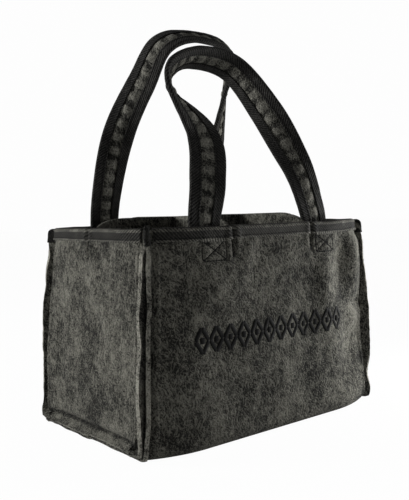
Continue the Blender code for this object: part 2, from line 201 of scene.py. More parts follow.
def makeFelt(name, dark, light, level, pulled=0.0, sewn=False):
    felt = Finish(name, Sheen_Weight=0.04, Sheen_Roughness=0.6, Specular_IOR_Level=0.1)
    place = felt.objectPlace()
    curl = felt.add("TexNoise", {}, {"Vector": place, "Scale": feltLook["curlScale"], "Detail": 1.0}, 1)
    curl = felt.add("VectorMath", {"operation": "SCALE"}, {0: curl, "Scale": feltLook["curl"]})
    curled = felt.add("VectorMath", {"operation": "ADD"}, [place, curl])
    fibres = 0
    for i, turn in enumerate(feltLook["turns"]):
        streak = felt.speckle(felt.stretched(curled, turn, feltLook["fibre"]), 1.0, 0.5)
        fibres = streak.above(*feltLook["fibreEdge"]) * (feltLook["everyOther"] if i % 2 else 1.0) + fibres
    grain, cloud, blotch = [felt.speckle(place, *feltLook[part][:3]) - 0.5
                            for part in ("grain", "cloud", "blotch")]
    tone = blotch * feltLook["blotch"][3] + cloud * feltLook["cloud"][3] + grain * feltLook["grain"][3]
    tone = tone + fibres.least(feltLook["mostFibres"]) * feltLook["fibreWeight"] + level
    # Painted light and shade: each puff is painted pale and the dip between two puffs painted dark
    if pulled:              # the length of one puff between two stitches
        along, _, _ = felt.split(felt.clothPlace())
        puff = (along * (2 * pi / pulled) + 1.0).wave() * 0.5 + 0.5
        tone = tone + puff.above(*puffShading["edge"]) * puffShading["pale"] - puffShading["dark"]
    # Painted shade in the crease over each side's bottom seam and along the lower edge, with a painted
    # highlight on the flange between them
    if sewn:
        x, y, z = felt.split(place)
        low = z - bottomSeamShading["height"]
        crease = abs(low).below(*bottomSeamShading["creaseFade"]) * bottomSeamShading["crease"]
        paleBand = abs(low + bottomSeamShading["litBandDrop"]).below(*bottomSeamShading["litBandFade"]) * bottomSeamShading["paleBand"]
        under = z.below(*bottomSeamShading["underFade"]) * bottomSeamShading["under"]
        side = abs(x).above(*bottomSeamShading["sideFrom"]) * abs(y).below(*bottomSeamShading["sideEnd"])
        tone = tone - side * (crease - paleBand + under)
    colour = felt.colours(tone.most(0.0).least(1.0), dark, light)
    relief = feltLook["relief"]
    height = grain * relief["grain"] + fibres * relief["fibres"] + cloud * relief["cloud"]
    return felt.finish(colour, feltLook["rough"], height, feltLook["bump"])


twillLook = {
    "slant": 0.9, "wander": 0.0006, "wanderSize": 0.004, "crossing": 1.9, "rib": 0.8, "cross": 0.2,
    "fray": 0.0009, "frayEdge": (0.42, 0.72), "wear": 0.009, "wearEdge": (0.45, 0.75), "dark": 0.24,
    "weights": {"weave": 0.75, "fray": 0.55, "wear": 0.3}, "rough": 0.85, "bump": 0.0006,
}
# The front's rim tape is rubbed pale between the two straps
rubbedRim = {"left": (-0.042, -0.036), "right": (0.037, 0.043), "front": (-0.04, 0.0), "pale": 0.45}


def makeTwill(name, dark, light, pitch, paleBand=False):
    # Diagonal ribs that follow the tape; its first UV runs along it, its second across it
    twill = Finish(name, Sheen_Weight=0.03, Sheen_Roughness=0.5, Specular_IOR_Level=0.12)
    place, weights = twill.clothPlace(), twillLook["weights"]
    along, across, _ = twill.split(place)
    wander = twill.speckle(place, twillLook["wanderSize"], 1.0) * twillLook["wander"]
    slanted = across * twillLook["slant"]
    rib = ((along + slanted + wander) * (2 * pi / pitch)).wave() * 0.5 + 0.5
    cross = ((along - slanted + wander) * (2 * pi / pitch * twillLook["crossing"])).wave() * 0.5 + 0.5
    weave = rib * twillLook["rib"] + cross * twillLook["cross"]
    fray = twill.speckle(twill.objectPlace(), twillLook["fray"], 2.0).above(*twillLook["frayEdge"])
    wear = twill.speckle(twill.objectPlace(), twillLook["wear"], 3.0).above(*twillLook["wearEdge"])
    tone = weave * weights["weave"] + fray * weights["fray"] + wear * weights["wear"]
    if paleBand:
        x, y, _ = twill.split(twill.objectPlace())
        tone = tone + (x.above(*rubbedRim["left"]) * x.below(*rubbedRim["right"])
                       * y.below(*rubbedRim["front"]) * rubbedRim["pale"])
    colour = twill.colours((tone - twillLook["dark"]).least(1.0).most(0.0), dark, light)
    return twill.finish(colour, twillLook["rough"], weave * 0.8 + fray * 0.3, twillLook["bump"])


threadLook = {"slant": 0.6, "fluff": 0.0006, "fluffEdge": (0.4, 0.7), "rough": 0.6, "bump": 0.00015}


def makeThread(name, dark, light, pitch):
    thread = Finish(name, Specular_IOR_Level=0.06)
    along, across, _ = thread.split(thread.clothPlace())
    strand = ((along + across * threadLook["slant"]) * (2 * pi / pitch)).wave() * 0.5 + 0.5
    fluff = thread.speckle(thread.objectPlace(), threadLook["fluff"], 2.0).above(*threadLook["fluffEdge"])
    colour = thread.colours((strand * 0.7 + fluff * 0.4).least(1.0), dark, light)
    return thread.finish(colour, threadLook["rough"], strand, threadLook["bump"])


# Both wall felts carry the painted shade and painted highlight along the sides' bottom seams
bagFelt = makeFelt("grey wool felt", (0.013, 0.0128, 0.011), (0.235, 0.229, 0.193), 0.07, sewn=True)
edgeFelt = makeFelt("cut felt edge", (0.022, 0.0215, 0.019), (0.42, 0.408, 0.35), 0.34, sewn=True)
stripeFelt = makeFelt("strap felt", (0.014, 0.0138, 0.012), (0.27, 0.263, 0.226), 0.14, pulled=0.0118)
rimTwill = makeTwill("rim twill tape", (0.003, 0.003, 0.0028), (0.064, 0.062, 0.055), 0.0024, paleBand=True)
strapTwill = makeTwill("strap twill tape", (0.0035, 0.0035, 0.0034), (0.066, 0.064, 0.059), 0.0024)
capTwill = makeTwill("cap twill tape", (0.0025, 0.0025, 0.0023), (0.034, 0.033, 0.029), 0.0021)
hemTwill = makeTwill("tape hem", (0.02, 0.0195, 0.017), (0.23, 0.224, 0.193), 0.0024)
darkThread = makeThread("dark sewing thread", (0.004, 0.004, 0.004), (0.013, 0.0128, 0.012), 0.0007)
satinThread = makeThread("black satin thread", (0.0022, 0.0022, 0.0022), (0.012, 0.012, 0.0117), 0.0008)
print("materials made")


def sceneObject(name, data):
    made = bpy.data.objects.new(name, data)
    bpy.context.scene.collection.objects.link(made)
    return made


def finishedMesh(name, bm):
    mesh = bpy.data.meshes.new(name)
    bm.to_mesh(mesh)
    bm.free()
    return mesh


def shownPiece(name, bm, material, *nodes, body="bag", slot=None, edge=None):
    mesh = finishedMesh(name, bm)
    for face in mesh.polygons:
        face.use_smooth = True
    mesh.materials.append(material)
    if edge:
        mesh.materials.append(edge)
    piece = sceneObject(name, mesh)
    if body:
        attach(piece, body)
    if nodes:
        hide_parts(*nodes)
    return piece


def mappedGrid(across, along, place, cloth=None):
    # A grid of quads whose vertex in column i and row j goes to place(i, j), with the UV map
    # cloth(i, j) in metres
    bm = bmesh.new()
    uv = bm.loops.layers.uv.new("cloth") if cloth else None
    bmesh.ops.create_grid(bm, x_segments=across, y_segments=along, size=0.5)
    spots = {vert: (round((vert.co.x + 0.5) * across), round((vert.co.y + 0.5) * along))
             for vert in bm.verts}
    for face in bm.faces if cloth else ():
        for loop in face.loops:
            loop[uv].uv = cloth(*spots[loop.vert])
    for vert, spot in spots.items():
        vert.co = place(*spot)
    return bm


def mended(bm, near=0.00002, fill=True):    # doubles merged, openings filled, faces turned outwards
    bmesh.ops.remove_doubles(bm, verts=bm.verts, dist=near)
    if fill:
        bmesh.ops.holes_fill(bm, edges=[e for e in bm.edges if e.is_boundary], sides=0)
    bmesh.ops.recalc_face_normals(bm, faces=bm.faces)
    return bm


# The bag's sizes, in metres as everywhere
bag = {
    "height": 0.1545, "rimLength": 0.206, "rimWidth": 0.131, "baseLength": 0.2245,
    "baseWidth": 0.135, "bowRim": 0.01, "bowBase": 0.0112, "sideBow": 0.0035,
    "sideBowRise": 0.05, "fold": 0.005, "felt": 0.003, "flange": 0.007, "fit": 0.0003,
    "wallFlat": 0.6, "sagFlat": 0.976, "cutBack": 0.0012,
}
seamShare = sqrt(0.5)
seamHeight = (bag["flange"] + bag["felt"] / 2) * seamShare + bag["fit"]
baseSag = seamHeight - bag["felt"] / 2
seamShift = (bag["felt"] + bag["fit"]) * seamShare

Row = namedtuple("Row", "y z ny nz half bow sag bend run")
rimCorner = Vector((-bag["rimWidth"] / 2, bag["height"]))
baseCorner = Vector((-bag["baseWidth"] / 2, seamHeight))
wallDrop = (baseCorner - rimCorner).length
wallDown = (baseCorner - rimCorner) / wallDrop
wallLean = atan2(-wallDown.x, -wallDown.y)
foldReach = bag["fold"] * tan(pi / 4 + wallLean / 2)
foldCentre = Vector((baseCorner.x + foldReach, baseCorner.y + bag["fold"]))
foldTop = foldCentre.y + bag["fold"] * sin(wallLean)
foldLength = bag["fold"] * (pi / 2 + wallLean)
frontLength = wallDrop - foldReach
stripHalf = frontLength + foldLength - foldCentre.x


def stripRow(run):      # run is the length along the strip from the front rim to the base's middle
    if run <= frontLength:
        place, angle = rimCorner + wallDown * run, wallLean
    elif run <= frontLength + foldLength:
        angle = mix(wallLean, -pi / 2, (run - frontLength) / foldLength)
        place = foldCentre + Vector((-cos(angle), sin(angle))) * bag["fold"]
    else:
        place = Vector((foldCentre.x + run - frontLength - foldLength, seamHeight))
        angle = -pi / 2
    fall = (bag["height"] - place.y) / (bag["height"] - seamHeight)
    bow = mix(bag["bowRim"], bag["bowBase"], fall) * min(1, place.x / foldCentre.x)
    sag = baseSag * max(0, foldTop - place.y) / (foldTop - seamHeight)
    return Row(place.x, place.y, -cos(angle), sin(angle),
               mix(bag["rimLength"], bag["baseLength"], fall) / 2, -bow, sag,
               min(wallLean - angle, angle + pi / 2), run)


def spaced(*spans):     # values from 0 on, in (end, step) spans
    values = [0.0]
    for end, step in spans:
        start, count = values[-1], max(1, round((end - values[-1]) / step))
        values += [mix(start, end, i / count) for i in range(1, count + 1)]
    return values


def bulge(share, flat):
    past = max(0, abs(share) - flat) / (1 - flat)
    return 1 - past ** 2


# Creases of the walls: distance along the wall, drop below the rim, half sizes, turn, height
creases = {
    "front": (
        (-0.027, 0.02, 0.005, 0.02, 24, 0.0021), (-0.047, 0.034, 0.012, 0.007, -12, 0.0012),
        (-0.06, 0.04, 0.006, 0.015, -32, 0.0009), (0.053, 0.044, 0.008, 0.026, 5, 0.0034),
        (0.0745, 0.036, 0.0075, 0.024, 4, -0.004), (0.0935, 0.032, 0.008, 0.026, 2, 0.0054),
        (0.09, 0.067, 0.012, 0.0045, 10, -0.0026), (0.094, 0.079, 0.008, 0.008, -30, 0.0022),
        (0.086, 0.104, 0.013, 0.022, 0, -0.0056), (0.064, 0.088, 0.012, 0.026, -6, 0.0022),
        (0.022, 0.026, 0.016, 0.012, 0, 0.001), (-0.08, 0.06, 0.012, 0.03, -8, -0.0008),
        (-0.03, 0.11, 0.035, 0.012, 14, 0.0009), (0.04, 0.125, 0.03, 0.01, -10, -0.0007),
    ),
    "back": (
        (-0.024, 0.024, 0.006, 0.02, 18, 0.0018), (0.028, 0.022, 0.005, 0.018, -20, 0.002),
        (-0.07, 0.05, 0.007, 0.026, 8, 0.0018), (0.078, 0.07, 0.009, 0.022, -14, -0.0018),
        (0.0000, 0.1, 0.04, 0.014, 10, 0.0008), (-0.088, 0.1, 0.008, 0.02, 12, -0.0018),
    ),
    "left": (
        (-0.004, 0.02, 0.0045, 0.017, 10, 0.0014), (0.006, 0.016, 0.0035, 0.013, -8, -0.001),
        (-0.02, 0.06, 0.005, 0.03, 38, 0.001), (-0.012, 0.066, 0.004, 0.026, 34, -0.0008),
        (0.03, 0.04, 0.014, 0.026, -10, 0.0009), (0.02, 0.11, 0.024, 0.012, 16, 0.0009),
        (-0.042, 0.1, 0.01, 0.02, 0, -0.0008), (0.058, 0.1, 0.008, 0.042, 0, 0.0044),
    ),
    "right": (
        (0.008, 0.02, 0.0045, 0.017, -12, 0.0014), (-0.02, 0.07, 0.006, 0.028, -30, 0.001),
        (0.03, 0.08, 0.012, 0.024, 14, -0.0009), (-0.035, 0.03, 0.012, 0.02, 8, 0.0009),
    ),
}
seamsAt = {"front": (-0.0405, 0.0392), "back": (-0.0398, 0.0395), "left": (0.003,), "right": (-0.002,)}
tabsAt = {"front": (-0.0576, 0.054), "back": (-0.0569, 0.0552)}
wallLook = {
    "waves": ((0.001, 0.034), (0.0003, 0.011)), "crease": 0.7, "calm": 0.15, "calmDrop": 0.018,
    "edgeFade": 0.0045, "bottomFade": (0.14, 0.15), "rib": 0.0015, "ribEdge": 0.0042,
    "ribSize": 0.0015, "ribFrom": (0.01, 0.02),
}
# A divider's seam is a groove between two swollen lips, deeper and narrower under the tape
dividerSeam = {
    "tapeEnd": (0.007, 0.012), "deep": (0.0036, 0.0022), "wide": (0.0014, 0.0019), "end": (0.015, 0.026),
    "lip": 0.0008, "lipOff": 0.0044, "lipSize": 0.0021, "lipEnd": (0.016, 0.032),
}
tabBox = {
    "half": 0.01, "top": 0.0092, "low": 0.0232, "reach": 0.004, "swell": 0.0005, "soft": 0.002,
    "groove": 0.0011, "grooveSize": 0.0009,
}
# Height, drop and half size of the swelling and the crease over each side's bottom seam
bottomSeam = {"bands": ((0.0014, 0.137, 0.004), (-0.003, 0.144, 0.002)), "ends": (0.004, 0.018)}


def boxDistance(dx, dz):    # from the stitched lines of a crossed box, and how far inside it
    tall = (tabBox["low"] - tabBox["top"]) / 2
    inside = min(tabBox["half"] - abs(dx), tall - abs(dz))
    size = hypot(tabBox["half"], tall)
    lines = [abs(dx * tall + turn * dz * tabBox["half"]) / size for turn in (1, -1)]
    return min([abs(inside)] + (lines if inside > 0 else [])), inside


def wallOut(wall, a, drop, edge):   # how far a wall stands out from its plain form
    out = sum(high * ripple((a, drop, i), size, len(wall))
              for i, (high, size) in enumerate(wallLook["waves"]))
    for x, z, sizeX, sizeZ, turn, high in creases[wall]:
        c, s = cos(radians(turn)), sin(radians(turn))
        dx, dz = ((a - x) * c + (drop - z) * s) / sizeX, ((drop - z) * c - (a - x) * s) / sizeZ
        out += high * exp(-(dx * dx + dz * dz) * wallLook["crease"])
    out *= mix(wallLook["calm"], 1, ramp(0, wallLook["calmDrop"], drop))
    for x in seamsAt[wall]:
        bare = ramp(*dividerSeam["tapeEnd"], drop)
        out -= (mix(*dividerSeam["deep"], bare) * (1 - ramp(*dividerSeam["end"], drop))
                * bell(a - x, mix(*dividerSeam["wide"], bare)))
        out += (dividerSeam["lip"] * bell(abs(a - x) - dividerSeam["lipOff"], dividerSeam["lipSize"])
                * (1 - ramp(*dividerSeam["lipEnd"], drop)))
    for x in tabsAt.get(wall, ()):
        near, inside = boxDistance(a - x, drop - (tabBox["top"] + tabBox["low"]) / 2)
        if inside > -tabBox["reach"]:
            out += tabBox["swell"] * ramp(-tabBox["soft"], tabBox["soft"], inside)
            out -= tabBox["groove"] * bell(near, tabBox["grooveSize"])
    out *= ramp(0, wallLook["edgeFade"], edge) * (1 - ramp(*wallLook["bottomFade"], drop))
    out += (wallLook["rib"] * bell(edge - wallLook["ribEdge"], wallLook["ribSize"])
            * ramp(*wallLook["ribFrom"], drop))
    if wall in ("left", "right"):
        raised = sum(high * bell(drop - at, size) for high, at, size in bottomSeam["bands"])
        out += raised * ramp(*bottomSeam["ends"], edge)
    return out


def stripPoint(row, share, wall):
    bowed, sagged = bulge(share, bag["wallFlat"]), bulge(share, bag["sagFlat"])
    point = Vector((row.half * share, row.y + row.bow * bowed, row.z - row.sag * sagged))
    if row.nz > -0.5:       # not on the base
        out = wallOut(wall, point.x, bag["height"] - row.z, row.half * (1 - abs(share)))
        point += Vector((0, row.ny, row.nz)) * out
    return point


def mirrored(row):
    return row._replace(y=-row.y, ny=-row.ny, bow=-row.bow)


def sidePoint(row, share, wall):        # on the right; the left one is mirrored in X
    low = seamHeight + seamShift
    height = row.z - row.nz * seamShift
    rise = sin(min(1, max(0, (height - low) / bag["sideBowRise"])) * pi / 2)
    half = -(row.y - row.ny * seamShift)
    out = wallOut(wall, half * share, bag["height"] - height, half * (1 - abs(share)))
    out += bag["sideBow"] * rise * (1 - share ** 4)
    return Vector((row.half + seamShift + out, half * share, height))


wallFacing = {"front": (0, -1, 0), "back": (0, 1, 0), "left": (-1, 0, 0), "right": (1, 0, 0)}


def wallPlace(wall, a, drop, step=0.0004):      # point on a wall's middle layer and its outward direction
    def at(a, drop):
        row = stripRow(drop / -wallDown.y)
        if wall in ("front", "back"):
            share = min(1, max(-1, a / row.half))
            return stripPoint(row if wall == "front" else mirrored(row), share, wall)
        share = min(1, max(-1, a / -(row.y - row.ny * seamShift)))
        point = sidePoint(row, share, wall)
        return Vector((-point.x, point.y, point.z)) if wall == "left" else point
    across = at(a + step, drop) - at(a - step, drop)
    normal = across.cross(at(a, drop + step) - at(a, max(0, drop - step))).normalized()
    if normal.dot(Vector(wallFacing[wall])) < 0:
        normal.negate()
    return at(a, drop), normal


seams = {
    "steps": 5, "front": 0.0008, "side": 0.0024, "sway": 0.0012, "swaySize": 0.036, "ragged": 0.0006,
    "pinch": 0.56, "pinchEnd": (0.011, 0.018), "clipped": 0.0034, "clippedRun": 0.008, "square": 0.7,
    "freeFrom": (0.01, 0.02), "closed": 0.75, "closedFrom": (-0.016, 0.004),
    "uneven": (0.3, 0.022), "frays": ((0.8, 0.014, 12), (0.35, 0.003, 15)),
}
# Where a seam allowance runs out further or is folded in: height, half size, length
flangeDents = {(1, -1): ((0.08, 0.036, 0.002), (0.022, 0.011, -0.0032)),
               (-1, 1): ((0.08, 0.03, 0.0022), (0.134, 0.008, -0.002), (0.01, 0.006, 0.0014))}


def flangePlace(row, side, reach, layer, hand=1):
    # Where a point of the seam allowance lies, seen from the seam, at reach 0 to 1. The layers
    # part at their cut edges, and the fold's corner is square
    facing = -1 if row.y < 0 else 1
    key = (row.run * -facing, side * 0.3, facing * 0.2)
    closed = ramp(*(frontLength + run for run in seams["closedFrom"]), row.run)
    free = ramp(*seams["freeFrom"], row.run) * (1 - seams["closed"] * closed)
    part = seams["front"] if layer > 0 else -seams["side"]
    uneven, size = seams["uneven"]
    part *= (1 + uneven * ripple(key, size, 3 + layer)) * free
    part += seams["sway"] * ripple(key, seams["swaySize"], 8) * mix(0.2, 1, free)
    frayed = sum(ripple(key, size, seed + layer) * share for share, size, seed in seams["frays"])
    length = bag["flange"] + seams["ragged"] * frayed
    for height, size, more in flangeDents.get((side * hand, facing), ()):
        length += more * bell(row.z - height, size)
    length *= seamShare
    radius = bag["fold"] - (seamShift if layer < 0 else 0)
    inPlane = (radius + length) / cos(row.bend * seams["square"]) - radius
    out = Vector((side * length, row.ny * inPlane, row.nz * inPlane)) * reach
    out.z -= seams["clipped"] * reach ** 2.5 * ramp(seams["clippedRun"], 0, row.run)
    squeeze = -layer * bag["felt"] * (1 - seams["pinch"]) / 2 * (1 - ramp(*seams["pinchEnd"], row.run))
    part = part * reach ** 2 + squeeze * min(1, reach * 2)
    return out + Vector((-side, row.ny, row.nz)) * seamShare * part


def bothWays(values):       # shares from -1 to 1 with these steps from the middle out
    shares = [value / values[-1] for value in values]
    return [-share for share in reversed(shares[1:])] + shares


# Ends and steps of the mesh's columns, from a wall's middle out, and of its rows, from the rim down
wallColumns = ((0.036, 0.0024), (0.072, 0.0009), (0.095, 0.0022), (0.1, 0.001), (0.103, 0.0006))
sideColumns = ((0.01, 0.0009), (0.055, 0.0025), (0.063, 0.001))
wallRows = ((0.03, 0.0009), (0.128, 0.0024), (frontLength, 0.001), (frontLength + foldLength, 0.0008))


def rowsDown(*spans):
    return [stripRow(max(run, bag["cutBack"])) for run in spaced(*spans)]


def addStrip():
    shares = bothWays(spaced(*wallColumns))
    rows = rowsDown(*wallRows, (stripHalf, 0.005))
    rows += [mirrored(row) for row in reversed(rows[:-1])]
    steps, last = seams["steps"], len(shares) - 1

    def place(i, j):
        inner = min(max(i - steps, 0), last)
        point = stripPoint(rows[j], shares[inner], "front" if rows[j].y < 0 else "back")
        if i - steps != inner:
            point += flangePlace(rows[j], 1 if inner else -1, abs(i - steps - inner) / steps, 1)
        return point

    return mappedGrid(last + 2 * steps, len(rows) - 1, place)


def addSide(wall):
    hand = 1 if wall == "right" else -1
    shares, rows, steps = bothWays(spaced(*sideColumns)), rowsDown(*wallRows), seams["steps"]
    bm = bmesh.new()
    level = bm.verts.layers.int.new("level")
    column = bm.verts.layers.int.new("column")
    bmesh.ops.create_grid(bm, x_segments=len(shares) - 1, y_segments=len(rows) - 1, size=0.5)
    for vert in bm.verts:
        vert[level] = round((vert.co.y + 0.5) * (len(rows) - 1))
        vert[column] = round((vert.co.x + 0.5) * (len(shares) - 1))
        vert.co = sidePoint(rows[vert[level]], shares[vert[column]], wall)
    edges = [e for e in bm.edges if e.is_boundary and sum(v[level] for v in e.verts) > 0]
    for step in range(steps):
        grown = bmesh.ops.extrude_edge_only(bm, edges=edges)["geom"]
        fresh = {item for item in grown if isinstance(item, bmesh.types.BMVert)}
        edges = [item for item in grown if isinstance(item, bmesh.types.BMEdge)
                 and fresh.issuperset(item.verts)]
        for vert in fresh:
            row = rows[vert[level]]
            if vert[column] > len(shares) / 2:
                row = mirrored(row)
            vert.co += (flangePlace(row, 1, (step + 1) / steps, -1, hand)
                        - flangePlace(row, 1, step / steps, -1, hand))
    for vert in bm.verts:
        vert.co.x *= hand
    bmesh.ops.recalc_face_normals(bm, faces=bm.faces)
    return bm


feltEdge = {"round": 0.0008, "segments": 3, "sharp": 60, "pinchFrom": (-0.003, 0.0008)}


def feltWall(name, bm, node):
    piece = shownPiece(name, bm, bagFelt, node, slot="bag_felt", edge=edgeFelt)
    wall = piece.modifiers.new("felt", "SOLIDIFY")
    wall.thickness, wall.offset, wall.use_even_offset, wall.use_rim = bag["felt"], 0, True, True
    wall.use_quality_normals = True
    wall.material_offset_rim = 1
    soft = piece.modifiers.new("soft edges", "BEVEL")
    soft.width, soft.segments, soft.limit_method = feltEdge["round"], feltEdge["segments"], "ANGLE"
    soft.angle_limit = radians(feltEdge["sharp"])
    # The felt is squeezed thin under the corner caps
    full = piece.vertex_groups.new(name="full felt")
    for vert in piece.data.vertices:
        past = (abs(vert.co.x) - bag["rimLength"] / 2 + abs(vert.co.y) - bag["rimWidth"] / 2) * seamShare
        capped = 1 - ramp(*seams["pinchEnd"], bag["height"] - vert.co.z)
        full.add([vert.index], 1 - ramp(*feltEdge["pinchFrom"], past) * capped, "REPLACE")
    wall.vertex_group, wall.thickness_vertex_group = "full felt", seams["pinch"]


feltWall("front_base_back", addStrip(), "front_base_back_felt")
for wall in ("right", "left"):
    feltWall(wall + "_side", addSide(wall), wall + "_side_felt")
print("felt walls made")


rimTape = {
    "inner": 0.0018, "outer": 0.0025, "cover": 0.009, "loose": 0.78, "rise": 0.0008, "short": 0.0015,
    "wave": (0.0002, 0.005), "sag": (0.0003, 0.017), "shoulder": 0.0021, "flat": 0.0002, "taper": 0.6,
    # The sewn lower edge: how far its points stand off the tape and above its end
    "lip": ((-0.0004, 0), (0.0003, 0.0003), (0.0005, 0.0009), (0.0001, 0.0015), (0, 0.0022), (0, 0.0045)),
    "longSteps": ((0.034, 0.0016), (0.046, 0.0006)), "shortSteps": ((0.008, 0.0006),), "step": 0.0018,
}


def addRimTape(wall):
    long = wall in ("front", "back")
    half = (bag["rimLength"] if long else bag["rimWidth"]) / 2 - rimTape["short"] - (0 if long else seamShift)
    steps = rimTape["longSteps" if long else "shortSteps"]
    spots = [half * share for share in bothWays(spaced(*steps, (half, rimTape["step"])))]
    # The tape's section: off the wall's middle, and drop below the bag's top
    outer, inner, cover = rimTape["outer"], rimTape["inner"], rimTape["cover"]
    top, rise = bag["cutBack"], bag["cutBack"] + rimTape["rise"]
    outside = [(outer + off, cover - up) for off, up in rimTape["lip"]] + [(outer, rimTape["shoulder"])]
    section = outside + [(outer * cos(t), top - rise * sin(t)) for t in halfTurn]
    section += [(-x, z) for x, z in reversed(outside)]
    inside = [(inner, cover), (inner, top), (inner * rimTape["taper"], rimTape["flat"])]
    section += [(-x, z) for x, z in inside] + inside[::-1] + [section[0]]
    lengths = runLengths(section)

    def place(i, j):
        off, drop = section[i]
        point, normal = wallPlace(wall, spots[j], max(0, drop))
        wave, waveSize = rimTape["wave"]
        point += normal * (off + (wave * ripple((spots[j], drop, 5), waveSize, 6) if off > inner else 0))
        sag, sagSize = rimTape["sag"]
        point.z += max(0, -drop) + sag * ripple((spots[j], 0, len(wall)), sagSize, 4)
        return point

    loose = 1 if long else rimTape["loose"]
    bm = mended(mappedGrid(len(section) - 1, len(spots) - 1, place,
                           lambda i, j: (spots[j] * loose, lengths[i])))
    # The hem and the worn line along the top are paler
    uv = bm.loops.layers.uv["cloth"]
    for face in bm.faces:
        reach = [loop[uv].uv.y for loop in face.loops]
        hem, worn = max(reach) <= lengths[3] + 0.0001, lengths[6] < sum(reach) / 4 < lengths[9]
        if len(reach) == 4 and (hem or worn):
            face.material_index = 1
    return bm


for wall in ("front", "right", "back", "left"):
    shownPiece(wall + "_rim_binding", addRimTape(wall), rimTwill, wall + "_rim_tape",
               slot="edge_tape", edge=hemTwill)
print("rim taped")


caps = {
    "start": 0.0008, "end": 0.008, "deep": 0.0102, "thick": 0.002, "tape": 0.0006, "round": 0.0042,
    "crumple": 0.0007, "crumpleSizes": (0.005, 0.004), "top": 0.0004, "sunk": 0.0006, "clipped": 0.9,
    # The steps of its crown: rise, and the share of the width that is left
    "crown": ((0.0008, 0.88), (0.0017, 0.66), (0.0022, 0.36), (0.0024, 0)),
}
# How far each cap stands above the rim, by its side in X and Y
capPeaks = {(1, -1): 0.4, (-1, -1): 1.5, (1, 1): 0.6, (-1, 1): 0.3}


def addCap(right, back):
    # Tape wrapped round both layers of the seam and closed over their top
    thick, reach = caps["thick"], caps["end"] - caps["thick"]
    flat = [(mix(caps["start"], reach, k / 5), -thick) for k in range(5)]
    path = flat + [(reach + thick * sin(t), -thick * cos(t)) for t in halfTurn]
    path += [(x, thick) for x, _ in reversed(flat)]
    levels = [(caps["deep"] * (1 - k / 8), 1) for k in range(8)] + [(caps["top"], 1)]
    levels += [(-rise * capPeaks[right, back], wide) for rise, wide in caps["crown"]]
    run = runLengths(path)

    def place(i, j):
        (past, off), (drop, width) = path[i], levels[j]
        row = stripRow(max(0.0005, drop))
        along = Vector((seamShare, row.ny * seamShare, row.nz * seamShare))
        through = Vector((-seamShare, row.ny * seamShare, 0))
        middle = Vector((row.half, row.y, row.z)) - through * (bag["felt"] + bag["fit"]) / 2
        corner = drop + right * 0.1 + back * 0.2
        wide, narrow = caps["crumpleSizes"]
        crumple = ripple((past, off * 2, corner), wide, 2) + ripple((past * 0.3, 0, corner), narrow, 5)
        point = middle + along * past + through * (off * width + caps["crumple"] * crumple)
        over = max(0, past - caps["end"] + caps["round"])
        clipped = caps["round"] - sqrt(max(0, caps["round"] ** 2 - over ** 2))
        clipped *= caps["clipped"] * (1 - drop / caps["deep"]) ** 1.5
        return Vector((point.x * right, point.y * -back, bag["height"] - drop - caps["sunk"] - clipped))

    bm = mappedGrid(len(path) - 1, len(levels) - 1, place, lambda i, j: (run[i], levels[j][0]))
    return mended(bm, fill=False)


for right, back in capPeaks:
    corner = ("front" if back < 0 else "back") + ("_right" if right > 0 else "_left")
    cap = shownPiece(corner + "_corner_cap", addCap(right, back), capTwill, corner + "_cap", slot="edge_tape")
    wrap = cap.modifiers.new("tape", "SOLIDIFY")
    wrap.thickness, wrap.offset = caps["tape"], -1
print("corners capped")


dividerLook = {
    "cut": 0.006, "edge": 0.0004, "sharp": 50, "wave": 0.0009, "waveSize": 0.045, "still": 0.75,
    "waveFrom": (0.02, 0.12), "pullFrom": 0.5, "pullRise": (0.04, 0.13),
}


def addDivider(node, lying):
    # The solid's own slotted sheet, cut into small faces; its ends are pulled to their seams
    bm = bmesh.new()
    bm.from_mesh(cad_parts[node].data)
    bmesh.ops.remove_doubles(bm, verts=bm.verts, dist=0.00001)
    bmesh.ops.dissolve_limit(bm, angle_limit=radians(1), verts=bm.verts, edges=bm.edges)
    low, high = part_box(node)
    sharpest = radians(dividerLook["sharp"])
    sharp = [e for e in bm.edges if len(e.link_faces) == 2 and e.calc_face_angle(0) > sharpest]
    bmesh.ops.bevel(bm, geom=sharp, offset=dividerLook["edge"], segments=2, affect="EDGES",
                    profile=0.5, material=-1)
    across, thin = Vector((0, 1, 0)), Vector((1, 0, 0))
    if not lying:
        across, thin = thin, across
    for axis in (across, Vector((0, 0, 1))):
        first, last = low.dot(axis), high.dot(axis)
        steps = int((last - first) / dividerLook["cut"])
        for i in range(1, steps):
            bmesh.ops.bisect_plane(bm, geom=bm.verts[:] + bm.edges[:] + bm.faces[:],
                                   plane_co=axis * mix(first, last, i / steps), plane_no=axis)
    bmesh.ops.triangulate(bm, faces=[f for f in bm.faces if len(f.verts) > 4])
    middle = (low + high).dot(thin) / 2
    ends = ("front", "back") if lying else ("left", "right")
    pulls = [seamsAt[end][-1 if middle > 0 or not lying else 0] - middle for end in ends]
    for vert in bm.verts:
        a, z = vert.co.dot(across), vert.co.z
        outer = abs(a) / high.dot(across)
        sway = dividerLook["wave"] * ripple((a, z, middle), dividerLook["waveSize"], 5)
        sway *= (1 - ramp(dividerLook["still"], 1, outer)) * ramp(*dividerLook["waveFrom"], z)
        pull = pulls[a > 0] * ramp(dividerLook["pullFrom"], 1, outer) * ramp(*dividerLook["pullRise"], z)
        vert.co += thin * (sway + pull)
    return bm


for node in ("long_divider", "right_cross_divider", "left_cross_divider"):
    shownPiece(node + "_felt", addDivider(node, node != "long_divider"), bagFelt, node,
               slot="divider_felt")
print("dividers made")


